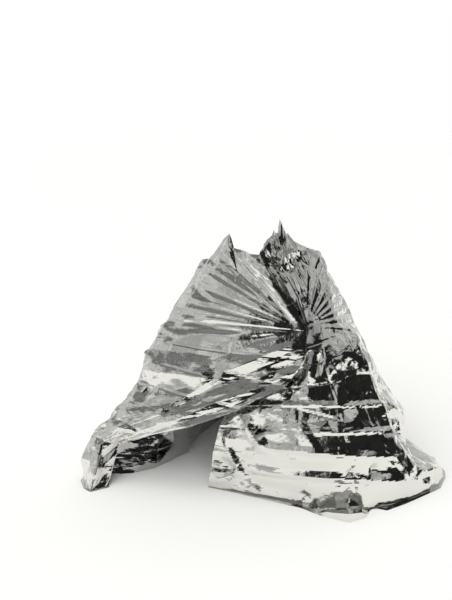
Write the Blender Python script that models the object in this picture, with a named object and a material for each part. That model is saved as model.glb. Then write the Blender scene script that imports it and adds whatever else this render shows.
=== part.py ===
"""Emergency foil blanket, opened and standing like a short tent or cape.

One sheet of metallised film stands on its own stiff creases. Its two free edges meet in front, the left
one lapped over the right one, and pleats fan out from the point where it was gathered. The left side
reaches forward as a low hood with a raised hem, the right side falls to the floor as a banded skirt.
"""

import math

import bmesh
import bpy
import numpy as np

# Driving dimensions in metres and degrees. X runs across, Y away from the viewer, Z up.
FILM_WALL = 0.002
LOOK_DOWN = 20.0
CENTRE_X = -0.0006
CENTRE_Y = 0.5256
FACES_OF_SHEET = 4000
GRID_ACROSS = 380
GRID_DOWN = 170
UNEVEN_SEED = 11
CREASE_SPACING = 0.12
UNEVEN_HEIGHT = 0.0055
MILLIMETRE = 0.001
TINY = 1e-9
FACET_WIDTH = 0.06
FACET_SEED = 4
LEFT_FADE = 0.03
RIGHT_FADE = 0.06
SHORTEST_EDGE = 0.005
FAIR_PASSES = 20
FAIR_LEAN = 0.35
FILM_COLOUR = (0.86, 0.86, 0.85, 1.0)
FILM_ROUGHNESS = 0.12

# The sheet's shape, one row for each rib from the left free edge round the back to the right free edge.
# Each cell is a place on that rib (x, y, z); toe is how far the hem lies out on the floor.
LEVELS = {
    "collar": 0.0, "chest": 0.28, "waist": 0.46, "elbow": 0.64, "knee": 0.84, "ankle": 0.92, "foot": 1.0}
RIB_COLUMNS = ("rib", "collar", "chest", "waist", "elbow", "knee", "foot", "toe")
RIBS = (
    ("left_edge", (-0.026, 0.330, 0.779), (0.132, 0.226, 0.560), (0.070, 0.186, 0.394),
     (-0.244, 0.200, 0.247), (-0.488, 0.330, 0.127), (-0.521, 0.280, 0.0), 0.010),
    ("left_front", (-0.119, 0.420, 0.787), (-0.129, 0.314, 0.560), (-0.195, 0.274, 0.395),
     (-0.343, 0.280, 0.267), (-0.548, 0.330, 0.151), (-0.585, 0.245, 0.0), 0.010),
    ("left_ridge", (-0.201, 0.500, 0.724), (-0.327, 0.430, 0.535), (-0.393, 0.395, 0.415),
     (-0.462, 0.375, 0.278), (-0.587, 0.380, 0.146), (-0.605, 0.367, 0.0), 0.012),
    ("left_back", (-0.160, 0.570, 0.700), (-0.300, 0.510, 0.530), (-0.355, 0.485, 0.400),
     (-0.408, 0.445, 0.2645), (-0.432, 0.436, 0.112), (-0.450, 0.372, 0.0), 0.012),
    ("back_left", (-0.120, 0.610, 0.690), (-0.250, 0.600, 0.520), (-0.280, 0.600, 0.390),
     (-0.295, 0.540, 0.260), (-0.295, 0.495, 0.130), (-0.310, 0.515, 0.0), 0.015),
    ("back_inner", (-0.060, 0.640, 0.680), (-0.150, 0.710, 0.500), (-0.175, 0.750, 0.380),
     (-0.180, 0.750, 0.250), (-0.185, 0.765, 0.120), (-0.195, 0.800, 0.0), 0.020),
    ("back", (0.030, 0.660, 0.645), (0.030, 0.780, 0.500), (0.045, 0.850, 0.380),
     (0.060, 0.910, 0.250), (0.070, 0.970, 0.120), (0.080, 1.010, 0.0), 0.030),
    ("back_right", (0.110, 0.640, 0.660), (0.200, 0.720, 0.500), (0.250, 0.780, 0.380),
     (0.300, 0.830, 0.250), (0.340, 0.870, 0.120), (0.370, 0.910, 0.0), 0.030),
    ("right_back", (0.160, 0.580, 0.710), (0.280, 0.600, 0.520), (0.340, 0.610, 0.380),
     (0.395, 0.615, 0.250), (0.435, 0.620, 0.120), (0.485, 0.615, 0.0), 0.014),
    ("right_side", (0.181, 0.500, 0.749), (0.284, 0.460, 0.549), (0.356, 0.440, 0.391),
     (0.474, 0.420, 0.210), (0.497, 0.405, 0.066), (0.612, 0.392, 0.0), 0.010),
    ("right_fold", (0.145, 0.430, 0.788), (0.240, 0.310, 0.586), (0.310, 0.265, 0.488),
     (0.350, 0.238, 0.332), (0.442, 0.200, 0.155), (0.535, 0.218, 0.0), 0.020),
    ("front_right", (0.050, 0.420, 0.838), (0.178, 0.270, 0.587), (0.191, 0.208, 0.469),
     (0.234, 0.157, 0.337), (0.277, 0.105, 0.176), (0.310, 0.100, 0.0), 0.080),
    ("front_mid", (0.000, 0.400, 0.792), (0.119, 0.268, 0.559), (0.069, 0.240, 0.422),
     (0.053, 0.202, 0.320), (0.036, 0.174, 0.155), (0.046, 0.166, 0.0), 0.020),
    ("right_edge", (-0.007, 0.390, 0.719), (0.069, 0.300, 0.535), (-0.030, 0.300, 0.384),
     (-0.119, 0.300, 0.273), (-0.168, 0.285, 0.136), (-0.188, 0.275, 0.0), 0.020),
)

# Places on the ribs between knee and foot where they aren't halfway: the lobe and the train on the floor.
ANKLES = {
    "left_ridge": (-0.622, 0.372, 0.060),
    "right_back": (0.475, 0.610, 0.050),
    "right_side": (0.594, 0.400, 0.042),
    "right_fold": (0.500, 0.210, 0.080),
}

# Outline on the floor of the hem that lies spread in front, as places (x, y) from right to left.
SPREAD = (
    (0.640, 0.400), (0.617, 0.340), (0.591, 0.262), (0.548, 0.222), (0.462, 0.145), (0.396, 0.096),
    (0.348, 0.118), (0.338, 0.090), (0.322, 0.050), (0.270, 0.014), (0.175, 0.064), (0.119, 0.115),
    (-0.188, 0.272),
)
SPREAD_LEAST = 0.008

# The rounded lobe in that hem: how high it lifts off the floor at each x, and its profile outwards.
LOBE = {0.16: 0.0, 0.20: 0.022, 0.27: 0.034, 0.31: 0.026, 0.335: 0.0}
LOBE_PROFILE = {0.0: 0.0, 0.2: 0.05, 0.5: 0.8, 0.93: 1.0, 1.0: 0.0}

# Pointed tips of the collar: the rib, a shift across the sheet, the rise, and the half width each side.
TIP_COLUMNS = ("rib", "shift", "rise", "before", "after")
TIPS = (
    ("left_front", 0.000, 0.052, 0.028, 0.100),
    ("front_right", 0.000, 0.046, 0.022, 0.018),
    ("front_right", -0.052, 0.014, 0.030, 0.012),
    ("front_right", 0.048, 0.012, 0.016, 0.022),
    ("front_mid", -0.010, 0.010, 0.018, 0.014),
)
TIP_DEPTH = 0.16

# Loose folds of the sides and back, from the collar to the hem: the rib, a shift across the sheet, half
# width, and height out of the sheet at the hem.
DRAPE_COLUMNS = ("rib", "shift", "half_width", "height")
DRAPES = (
    ("left_back", 0.00, 0.060, 0.012),
    ("back_left", 0.04, 0.050, -0.016),
    ("back_inner", 0.05, 0.070, 0.018),
    ("back", -0.03, 0.060, -0.012),
    ("back", 0.10, 0.050, 0.014),
    ("back_right", 0.06, 0.070, -0.018),
    ("right_back", 0.00, 0.060, 0.015),
)
DRAPE_AT_COLLAR = 0.25

# Crease lines left from when the sheet was folded flat, as places down the sheet.
BANDS = (0.0, 0.09, 0.18, 0.28, 0.37, 0.46, 0.55, 0.64, 0.74, 0.84, 0.92, 1.0)

# Pleats that fan out from the gather: the panel, the gather's place as the viewer sees it, and the
# height in millimetres at each bearing in degrees.
FANS = (
    ("left", (0.129, 0.606), {
        126: 0, 131: 2, 136: -2, 141: 3, 146: -2, 151: 3, 156: -3, 161: 2, 166: -2, 170: 2, 175: -2,
        181: 2, 187: -2, 195: 0}),
    ("right", (0.135, 0.624), {
        -8: 0, 0: 3, 7: -4, 14: 4, 20: -4, 26: 4, 32: -4, 38: 4, 44: -5, 50: 4, 56: -3, 62: 4, 68: -5,
        75: 5, 82: -3, 90: 0}),
)
FAN_GROWS = (0.02, 0.14)
FAN_FADES = (0.30, 0.44)

# Main folds, placed as a viewer in front sees them, who looks down a little: from one end to the other,
# across and up in metres. A fold has straight flanks: wide_left and wide_right are their widths on each
# side of its line, height is out of the sheet, and end is the share of its length in which it tapers.
FOLD_COLUMNS = ("fold", "panel", "x0", "up0", "x1", "up1", "wide_left", "wide_right", "height", "end")
FOLDS = (
    ("lapel valley", "left", -0.079, 0.842, 0.119, 0.597, 0.030, 0.046, -0.009, 0.15),
    ("lapel highlight", "left", -0.020, 0.808, 0.119, 0.617, 0.017, 0.017, 0.005, 0.20),
    ("collar dent", "left", -0.139, 0.842, -0.007, 0.729, 0.026, 0.040, -0.008, 0.40),
    ("dark valley", "left", -0.257, 0.640, -0.046, 0.606, 0.007, 0.024, -0.0075, 0.30),
    ("upper dark valley", "left", -0.290, 0.676, -0.180, 0.652, 0.006, 0.016, -0.005, 0.40),
    ("under-arm ridge", "left", -0.416, 0.488, -0.162, 0.455, 0.073, 0.040, 0.014, 0.15),
    ("under-arm rise", "left", -0.178, 0.455, 0.069, 0.558, 0.053, 0.030, 0.011, 0.30),
    ("cream facet", "left", -0.310, 0.478, -0.211, 0.412, 0.026, 0.040, -0.007, 0.40),
    ("long valley", "left", -0.389, 0.307, -0.139, 0.446, 0.017, 0.023, -0.012, 0.30),
    ("hem ridge", "left", -0.416, 0.294, -0.007, 0.426, 0.046, 0.026, 0.012, 0.20),
    ("dark dent", "left", -0.130, 0.482, -0.010, 0.446, 0.008, 0.036, -0.009, 0.40),
    ("grip crumple", "left", -0.007, 0.531, 0.106, 0.564, 0.020, 0.017, 0.009, 0.45),
    ("grip crumple low", "left", 0.020, 0.478, 0.119, 0.511, 0.020, 0.023, -0.009, 0.45),
    ("elbow dent", "left", -0.436, 0.393, -0.343, 0.446, 0.020, 0.020, -0.010, 0.45),
    ("elbow ridge", "left", -0.409, 0.360, -0.323, 0.439, 0.020, 0.017, 0.010, 0.45),
    ("lobe ridge", "left", -0.594, 0.214, -0.389, 0.346, 0.033, 0.046, 0.009, 0.30),
    ("lobe pinch", "left", -0.581, 0.155, -0.449, 0.267, 0.020, 0.020, -0.008, 0.40),
    ("lobe end fold", "left", -0.568, 0.096, -0.544, 0.214, 0.017, 0.013, 0.009, 0.30),
    ("lobe flap ridge", "left", -0.600, 0.110, -0.535, 0.190, 0.020, 0.020, 0.010, 0.35),
    ("lobe flap hollow", "left", -0.560, 0.090, -0.525, 0.150, 0.016, 0.020, -0.008, 0.35),
    ("lobe crown", "left", -0.600, 0.225, -0.520, 0.240, 0.020, 0.024, 0.005, 0.40),
    ("lobe brow", "left", -0.520, 0.300, -0.420, 0.285, 0.018, 0.022, 0.008, 0.40),
    ("shoulder dent", "left", -0.240, 0.760, -0.160, 0.700, 0.016, 0.020, -0.007, 0.40),
    ("shoulder crease", "left", -0.300, 0.640, -0.235, 0.655, 0.014, 0.014, 0.006, 0.40),
    ("arm crease", "left", -0.380, 0.560, -0.300, 0.585, 0.016, 0.014, 0.006, 0.40),
    ("hem sag", "left", -0.502, 0.241, -0.429, 0.287, 0.020, 0.020, -0.008, 0.40),
    ("collar pleat", "right", 0.028, 0.898, 0.020, 0.799, 0.014, 0.014, -0.009, 0.40),
    ("collar crown", "right", 0.119, 0.906, 0.053, 0.815, 0.018, 0.014, 0.009, 0.35),
    ("collar shelf", "right", 0.045, 0.840, 0.152, 0.878, 0.016, 0.012, 0.009, 0.35),
    ("collar pocket", "right", 0.053, 0.795, 0.111, 0.823, 0.014, 0.014, -0.009, 0.40),
    ("grip ridge", "right", 0.148, 0.439, 0.135, 0.611, 0.020, 0.026, 0.010, 0.25),
    ("grip hollow", "right", 0.162, 0.459, 0.178, 0.551, 0.017, 0.020, -0.012, 0.40),
    ("white facet", "right", 0.198, 0.452, 0.254, 0.538, 0.020, 0.030, 0.009, 0.40),
    ("dark panel", "right", 0.271, 0.373, 0.261, 0.531, 0.020, 0.040, -0.009, 0.30),
    ("upright crease", "right", 0.238, 0.201, 0.231, 0.439, 0.030, 0.020, 0.008, 0.15),
    ("shoulder fold", "right", 0.317, 0.478, 0.284, 0.657, 0.017, 0.030, 0.008, 0.30),
    ("skirt corner low", "right", 0.495, 0.142, 0.403, 0.294, 0.040, 0.030, 0.012, 0.15),
    ("skirt corner high", "right", 0.409, 0.280, 0.310, 0.544, 0.040, 0.033, 0.012, 0.15),
    ("side dent", "right", 0.442, 0.234, 0.396, 0.380, 0.020, 0.023, -0.011, 0.40),
    ("side ridge", "right", 0.482, 0.214, 0.409, 0.399, 0.023, 0.020, 0.009, 0.30),
    ("ledge one", "right", 0.046, 0.373, 0.396, 0.370, 0.016, 0.008, 0.0045, 0.10),
    ("ledge two", "right", 0.150, 0.287, 0.416, 0.287, 0.016, 0.009, 0.0045, 0.10),
    ("ledge three", "right", -0.007, 0.234, 0.455, 0.201, 0.020, 0.012, 0.005, 0.10),
    ("ledge four", "right", -0.079, 0.155, 0.488, 0.125, 0.020, 0.014, 0.005, 0.10),
    ("dark wedge", "right", 0.092, 0.360, 0.244, 0.325, 0.008, 0.036, -0.008, 0.35),
    ("dent one", "right", 0.252, 0.132, 0.296, 0.182, 0.014, 0.050, -0.014, 0.45),
    ("dent two", "right", 0.345, 0.132, 0.357, 0.192, 0.016, 0.060, -0.016, 0.45),
    ("dent three", "right", 0.271, 0.046, 0.290, 0.088, 0.014, 0.050, -0.012, 0.45),
    ("dent four", "right", 0.119, 0.063, 0.139, 0.092, 0.026, 0.030, -0.008, 0.50),
    ("left wedge", "right", -0.086, 0.346, 0.013, 0.201, 0.030, 0.026, 0.012, 0.35),
    ("wedge floor", "right", -0.030, 0.332, 0.060, 0.318, 0.008, 0.045, -0.011, 0.40),
    ("block slash", "right", -0.132, 0.250, -0.066, 0.120, 0.014, 0.034, 0.012, 0.40),
    ("block pleat one", "right", -0.172, 0.180, -0.139, 0.172, 0.006, 0.014, 0.007, 0.30),
    ("block pleat two", "right", -0.175, 0.152, -0.136, 0.142, 0.006, 0.014, 0.007, 0.30),
    ("left hollow", "right", -0.040, 0.261, -0.007, 0.340, 0.026, 0.030, -0.013, 0.45),
    ("edge facet", "right", -0.125, 0.214, -0.106, 0.300, 0.026, 0.026, 0.009, 0.45),
    ("edge hollow", "right", -0.106, 0.116, -0.125, 0.201, 0.026, 0.023, -0.010, 0.45),
    ("diagonal ridge", "right", 0.178, 0.214, 0.086, 0.346, 0.030, 0.023, 0.007, 0.30),
    ("foot ridge", "right", -0.165, 0.109, 0.119, 0.056, 0.026, 0.017, 0.006, 0.20),
    ("train ridge", "right", 0.500, 0.155, 0.640, 0.150, 0.030, 0.024, 0.010, 0.25),
    ("train hollow", "right", 0.545, 0.190, 0.530, 0.110, 0.018, 0.022, -0.008, 0.35),
)


def eased(knots, values, places):
    """A smooth curve through the values at the knots, read at the places, with slopes from neighbours."""
    knots = np.asarray(knots, float)
    values = np.asarray(values, float)
    rise = np.diff(values, axis=0) / np.diff(knots)[:, None, None]
    slope = np.empty_like(values)
    slope[1:-1] = (rise[:-1] + rise[1:]) / 2
    slope[0] = rise[0]
    slope[-1] = rise[-1]
    i = np.clip(np.searchsorted(knots, places, side="right") - 1, 0, len(knots) - 2)
    span = (knots[i + 1] - knots[i])[:, None, None]
    t = ((places - knots[i]) / (knots[i + 1] - knots[i]))[:, None, None]
    low, high = values[i], values[i + 1]
    return (
        (2 * t**3 - 3 * t**2 + 1) * low
        + (t**3 - 2 * t**2 + t) * span * slope[i]
        + (3 * t**2 - 2 * t**3) * high
        + (t**3 - t**2) * span * slope[i + 1]
    )


def named(columns, table):
    """The rows of a table, each as a dictionary by its columns."""
    return [dict(zip(columns, row)) for row in table]


def rib_cells():
    """The places on each rib, from collar to foot."""
    cells = []
    for rib in named(RIB_COLUMNS, RIBS):
        halfway = (np.array(rib["knee"]) + rib["foot"]) / 2
        rib["ankle"] = ANKLES.get(rib["rib"], halfway)
        cells.append([rib[level] for level in LEVELS])
    return np.array(cells)


def rib_places():
    """Where each rib lies across the sheet, in metres from the left free edge, by the mean gaps."""
    gaps = np.linalg.norm(np.diff(rib_cells(), axis=0), axis=2).mean(axis=1)
    names = [rib["rib"] for rib in named(RIB_COLUMNS, RIBS)]
    return dict(zip(names, np.concatenate([[0], np.cumsum(gaps)])))


def smooth_sheet(across, down):
    """The sheet without its folds: points[across, down] from collar to foot."""
    round_it = eased(list(rib_places().values()), rib_cells(), across)
    return eased(list(LEVELS.values()), round_it.transpose(1, 0, 2), down).transpose(1, 0, 2)


def on_facets(corners, slant, place_u, place_v):
    """Values at the corners of a grid, read on two flat triangles a cell; slant turns the diagonal."""
    i = np.minimum(np.floor(place_u).astype(int), corners.shape[0] - 2)
    j = np.minimum(np.floor(place_v).astype(int), corners.shape[1] - 2)
    turned = slant[i, j] == 1
    s, t = place_u - i, place_v - j
    s = np.where(turned, 1 - s, s)
    near, far = np.where(turned, i + 1, i), np.where(turned, i, i + 1)
    a, b, c, d = corners[near, j], corners[far, j], corners[near, j + 1], corners[far, j + 1]
    if corners.ndim == 3:
        s, t = s[..., None], t[..., None]
    return np.where(s + t < 1, a + (b - a) * s + (c - a) * t, d + (c - d) * (1 - s) + (b - d) * (1 - t))


def faceted_sheet(across, down):
    """The smooth sheet broken into flat three-cornered panels between its crease lines."""
    last = max(rib_places().values())
    columns = round(last / FACET_WIDTH)
    corners = smooth_sheet(np.linspace(0, last, columns + 1), np.array(BANDS))
    slant = np.random.default_rng(FACET_SEED).integers(0, 2, (columns, len(BANDS) - 1))
    place_u = across[:, None] / last * columns + np.zeros(len(down))
    place_v = np.interp(down, BANDS, range(len(BANDS))) + np.zeros((len(across), 1))
    return on_facets(corners, slant, place_u, place_v)


def normals_of(points):
    """Unit normals of a grid of points, pointing out of the tent."""
    normal = np.cross(np.gradient(points, axis=0), np.gradient(points, axis=1))
    return normal / np.maximum(np.linalg.norm(normal, axis=2, keepdims=True), TINY)


def seen_plane(points):
    """Across and up, in metres, as the viewer in front sees each point."""
    tilt = math.radians(LOOK_DOWN)
    return points[..., 0], points[..., 1] * math.sin(tilt) + points[..., 2] * math.cos(tilt)


def panel_share(panel, across):
    """How much of the front panel's folds each place across the sheet takes, from 0 to 1."""
    at = rib_places()
    if panel == "left":
        return np.clip((at["left_ridge"] + LEFT_FADE - across) / (2 * LEFT_FADE), 0, 1)
    return np.clip((across - at["right_side"]) / RIGHT_FADE, 0, 1)


def fold_height(fold, x, up):
    """The height of one straight-flanked fold at each place of the seen plane."""
    run, rise = fold["x1"] - fold["x0"], fold["up1"] - fold["up0"]
    length = math.hypot(run, rise)
    along = ((x - fold["x0"]) * run + (up - fold["up0"]) * rise) / length**2
    side = ((up - fold["up0"]) * run - (x - fold["x0"]) * rise) / length
    flank = 1 - np.where(side > 0, side / fold["wide_left"], -side / fold["wide_right"])
    taper = np.minimum(along, 1 - along) / fold["end"]
    return fold["height"] * np.clip(flank, 0, 1) * np.clip(taper, 0, 1)


def fan_height(gather, bearings, x, up):
    """The height of the pleats that fan out from the gather."""
    away = np.hypot(x - gather[0], up - gather[1])
    bearing = np.degrees(np.arctan2(up - gather[1], x - gather[0]))
    bearing = np.where(bearing < -90, bearing + 360, bearing)
    grown = np.clip((away - FAN_GROWS[0]) / (FAN_GROWS[1] - FAN_GROWS[0]), 0, 1)
    left = np.clip((FAN_FADES[1] - away) / (FAN_FADES[1] - FAN_FADES[0]), 0, 1)
    return np.interp(bearing, list(bearings), list(bearings.values())) * MILLIMETRE * grown * left


def uneven_height(across, down):
    """Flat three-cornered facets between the crease lines, uneven from one to the next."""
    columns = int(across.max() / CREASE_SPACING) + 3
    rng = np.random.default_rng(UNEVEN_SEED)
    corners = rng.uniform(-UNEVEN_HEIGHT, UNEVEN_HEIGHT, (columns + 1, len(BANDS) + 1))
    slant = rng.integers(0, 2, corners.shape)
    place_u = across[:, None] / CREASE_SPACING + np.zeros(len(down))
    place_v = np.interp(down, BANDS, range(len(BANDS))) + np.zeros((len(across), 1))
    return on_facets(corners, slant, place_u, place_v)


def collar_tips(points, across, down):
    """Raises the collar's pointed tips, less and less down the sheet."""
    at = rib_places()
    for tip in named(TIP_COLUMNS, TIPS):
        off = across - at[tip["rib"]] - tip["shift"]
        share = np.clip(1 - np.where(off < 0, -off / tip["before"], off / tip["after"]), 0, 1)
        points[:, :, 2] += tip["rise"] * share[:, None] * np.clip(1 - down / TIP_DEPTH, 0, 1)[None, :]


def drape_height(across, down):
    """The height of the loose folds of the sides and back."""
    at = rib_places()
    height = np.zeros((len(across), len(down)))
    grown = DRAPE_AT_COLLAR + (1 - DRAPE_AT_COLLAR) * down
    for drape in named(DRAPE_COLUMNS, DRAPES):
        share = np.clip(1 - abs(across - at[drape["rib"]] - drape["shift"]) / drape["half_width"], 0, 1)
        height += drape["height"] * share[:, None] * grown[None, :]
    return height


def folded_sheet(across, down, outward_steps):
    """The sheet with its main folds: points[across, down], the last columns being the hem on the floor."""
    points = faceted_sheet(across, down)
    collar_tips(points, across, down)
    x, up = seen_plane(points)
    height = uneven_height(across, down) + drape_height(across, down)
    for panel, gather, bearings in FANS:
        height += panel_share(panel, across)[:, None] * fan_height(gather, bearings, x, up)
    for fold in named(FOLD_COLUMNS, FOLDS):
        height += panel_share(fold["panel"], across)[:, None] * fold_height(fold, x, up)
    points += normals_of(smooth_sheet(across, down)) * height[:, :, None]
    points[:, -1, 2] = 0.0
    foot = points[:, -1]
    along = np.gradient(smooth_sheet(across, down)[:, -1], axis=0)
    outward = np.stack([-along[:, 1], along[:, 0], np.zeros(len(along))], axis=1)
    outward /= np.maximum(np.linalg.norm(outward, axis=1, keepdims=True), TINY)
    toe_widths = [rib["toe"] for rib in named(RIB_COLUMNS, RIBS)]
    toe = foot + outward * np.interp(across, list(rib_places().values()), toe_widths)[:, None]
    outline = np.array(SPREAD[::-1])
    in_front = np.minimum(np.interp(foot[:, 0], *outline.T), foot[:, 1] - SPREAD_LEAST)
    spread = np.stack([foot[:, 0], in_front, np.zeros(len(foot))], axis=1)
    toe += (spread - toe) * panel_share("right", across)[:, None]
    steps = np.array(outward_steps)
    hem = foot[:, None] + (toe - foot)[:, None] * steps[None, :, None]
    lift = np.interp(foot[:, 0], list(LOBE), list(LOBE.values())) * panel_share("right", across)
    profile = np.interp(steps, list(LOBE_PROFILE), list(LOBE_PROFILE.values()))
    hem[:, :, 2] = lift[:, None] * profile[None, :]
    return np.concatenate([points, hem], axis=1)


def grid_faces(rows, columns):
    """The four-cornered faces of a grid, turned to face out of the tent."""
    corner = np.arange(rows * columns).reshape(rows, columns)
    faces = [corner[:-1, :-1], corner[1:, :-1], corner[1:, 1:], corner[:-1, 1:]]
    return np.stack(faces, axis=-1).reshape(-1, 4)


def thinned_sheet(points):
    """The sheet as a mesh with few faces, small ones only where it is folded."""
    mesh = bpy.data.meshes.new("sheet_grid")
    rows, columns = points.shape[:2]
    mesh.from_pydata(points.reshape(-1, 3).tolist(), [], grid_faces(rows, columns).tolist())
    grid = bpy.data.objects.new("sheet_grid", mesh)
    bpy.context.scene.collection.objects.link(grid)
    thin = grid.modifiers.new("thin", "DECIMATE")
    thin.ratio = FACES_OF_SHEET / (2 * (rows - 1) * (columns - 1))
    thin.use_collapse_triangulate = True
    evaluated = grid.evaluated_get(bpy.context.evaluated_depsgraph_get())
    thinned = bpy.data.meshes.new_from_object(evaluated)
    bpy.data.objects.remove(grid)
    bpy.data.meshes.remove(mesh)
    joined = bmesh.new()
    joined.from_mesh(thinned)
    bmesh.ops.remove_doubles(joined, verts=joined.verts, dist=SHORTEST_EDGE)
    joined.to_mesh(thinned)
    joined.free()
    return thinned


def fair_normals(normals, faces, face_normals):
    """Turns each vertex normal until it leans towards every face that meets there."""
    fair = normals.copy()
    for _ in range(FAIR_PASSES):
        lean = np.einsum("fcx,fx->fc", fair[faces], face_normals)
        np.add.at(fair, faces, face_normals[:, None] * np.clip(FAIR_LEAN - lean, 0, 1)[..., None])
        fair /= np.linalg.norm(fair, axis=1, keepdims=True)
    return fair


def film_solid(sheet):
    """A closed solid of the film's wall round the sheet, flat underneath where it lies on the floor."""
    points = np.array([v.co for v in sheet.vertices])
    faces = np.array([tuple(p.vertices) for p in sheet.polygons])
    face_normals = np.array([p.normal for p in sheet.polygons])
    out = fair_normals(np.array([v.normal for v in sheet.vertices]), faces, face_normals)
    on_floor = points[:, 2] < FILM_WALL
    points[:, 2] = np.maximum(points[:, 2], 0.0) + FILM_WALL / 2
    points[on_floor, 2] = FILM_WALL / 2
    mitred = out[on_floor] / np.maximum(out[on_floor, 2:], FAIR_LEAN)
    mitred[:, 2] = 1.0
    out[on_floor] = mitred
    outer = points + out * FILM_WALL / 2
    inner = points - out * FILM_WALL / 2
    count = len(points)
    edges = np.concatenate([faces[:, [0, 1]], faces[:, [1, 2]], faces[:, [2, 0]]])
    twins = {tuple(edge) for edge in edges[:, ::-1]}
    rim = [(b, a, a + count, b + count) for a, b in edges if (a, b) not in twins]
    mesh = bpy.data.meshes.new("blanket")
    shell = [*faces.tolist(), *(faces[:, ::-1] + count).tolist(), *rim]
    placed = np.concatenate([outer, inner]) - (CENTRE_X, CENTRE_Y, 0.0)
    mesh.from_pydata(placed.tolist(), [], shell)
    return mesh


def metallised_film():
    """Bright metal on a thin film."""
    material = bpy.data.materials.new("metallised_film")
    material.use_nodes = True
    surface = material.node_tree.nodes["Principled BSDF"]
    surface.inputs["Base Color"].default_value = FILM_COLOUR
    surface.inputs["Metallic"].default_value = 1.0
    surface.inputs["Roughness"].default_value = FILM_ROUGHNESS
    return material


def main():
    for old in list(bpy.data.objects):
        bpy.data.objects.remove(old)
    across = np.linspace(0, max(rib_places().values()), GRID_ACROSS)
    down = np.linspace(0, 1, GRID_DOWN)
    sheet = thinned_sheet(folded_sheet(across, down, list(LOBE_PROFILE)[1:]))
    blanket = bpy.data.objects.new("blanket", film_solid(sheet))
    blanket.data.materials.append(metallised_film())
    bpy.context.scene.collection.objects.link(blanket)


main()
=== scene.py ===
"""The opened foil blanket as it looks: a fine crinkled sheet on its solid's folds, with light and camera."""

import math
from functools import partial

import bpy
import numpy as np
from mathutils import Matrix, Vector

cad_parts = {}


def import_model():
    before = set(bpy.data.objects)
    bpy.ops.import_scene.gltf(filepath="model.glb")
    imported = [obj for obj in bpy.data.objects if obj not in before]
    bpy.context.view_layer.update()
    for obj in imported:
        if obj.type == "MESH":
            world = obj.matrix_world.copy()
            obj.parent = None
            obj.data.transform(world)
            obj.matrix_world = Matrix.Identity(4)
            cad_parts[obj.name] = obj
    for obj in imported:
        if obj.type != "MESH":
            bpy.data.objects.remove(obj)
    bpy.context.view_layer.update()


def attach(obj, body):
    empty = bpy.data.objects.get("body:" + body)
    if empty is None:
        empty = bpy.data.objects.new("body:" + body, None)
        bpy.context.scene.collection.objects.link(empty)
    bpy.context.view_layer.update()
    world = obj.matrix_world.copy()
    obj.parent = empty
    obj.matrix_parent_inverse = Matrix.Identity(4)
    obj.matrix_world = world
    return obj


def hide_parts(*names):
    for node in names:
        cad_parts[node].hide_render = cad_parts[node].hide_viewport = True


# Sizes in metres, angles in degrees, as in the solid. CENTRE_X and CENTRE_Y are the middle of the solid's
# box in the places of the tables below, and lie at the frame's origin. The sheet lies LIFT above the floor.
FILM_WALL = 0.002
LIFT = FILM_WALL / 4
LOOK_DOWN = 20.0
CENTRE_X = -0.0006
CENTRE_Y = 0.5256
MILLIMETRE = 0.001
TINY = 1e-9

# Flat panels between the crease lines: how far apart the lines lie that run down the sheet, how uneven the
# panels are, and the width of those that the sheet's own curve is broken into, with the seeds. A grid of
# random values is made with some spare cells.
CREASE_SPACING = 0.12
UNEVEN_HEIGHT = 0.0055
UNEVEN_SEED = 11
FACET_WIDTH = 0.06
FACET_SEED = 4
SPARE_CELLS = 4

# The change from the front panels' folds to the rest of the sheet: half its width on the left panel, and
# its whole width on the right one.
LEFT_FADE = 0.03
RIGHT_FADE = 0.06

# Steps of the hem from the foot to its edge.
HEM_STEPS = (0.1, 0.2, 0.3, 0.43, 0.56, 0.69, 0.82, 0.95, 0.975, 1.0)

# The fine sheet's grid, and how much closer its lines lie in front than round the back.
GRID_ACROSS = 460
GRID_DOWN = 208
CLOSER_IN_FRONT = 1.9

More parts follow.
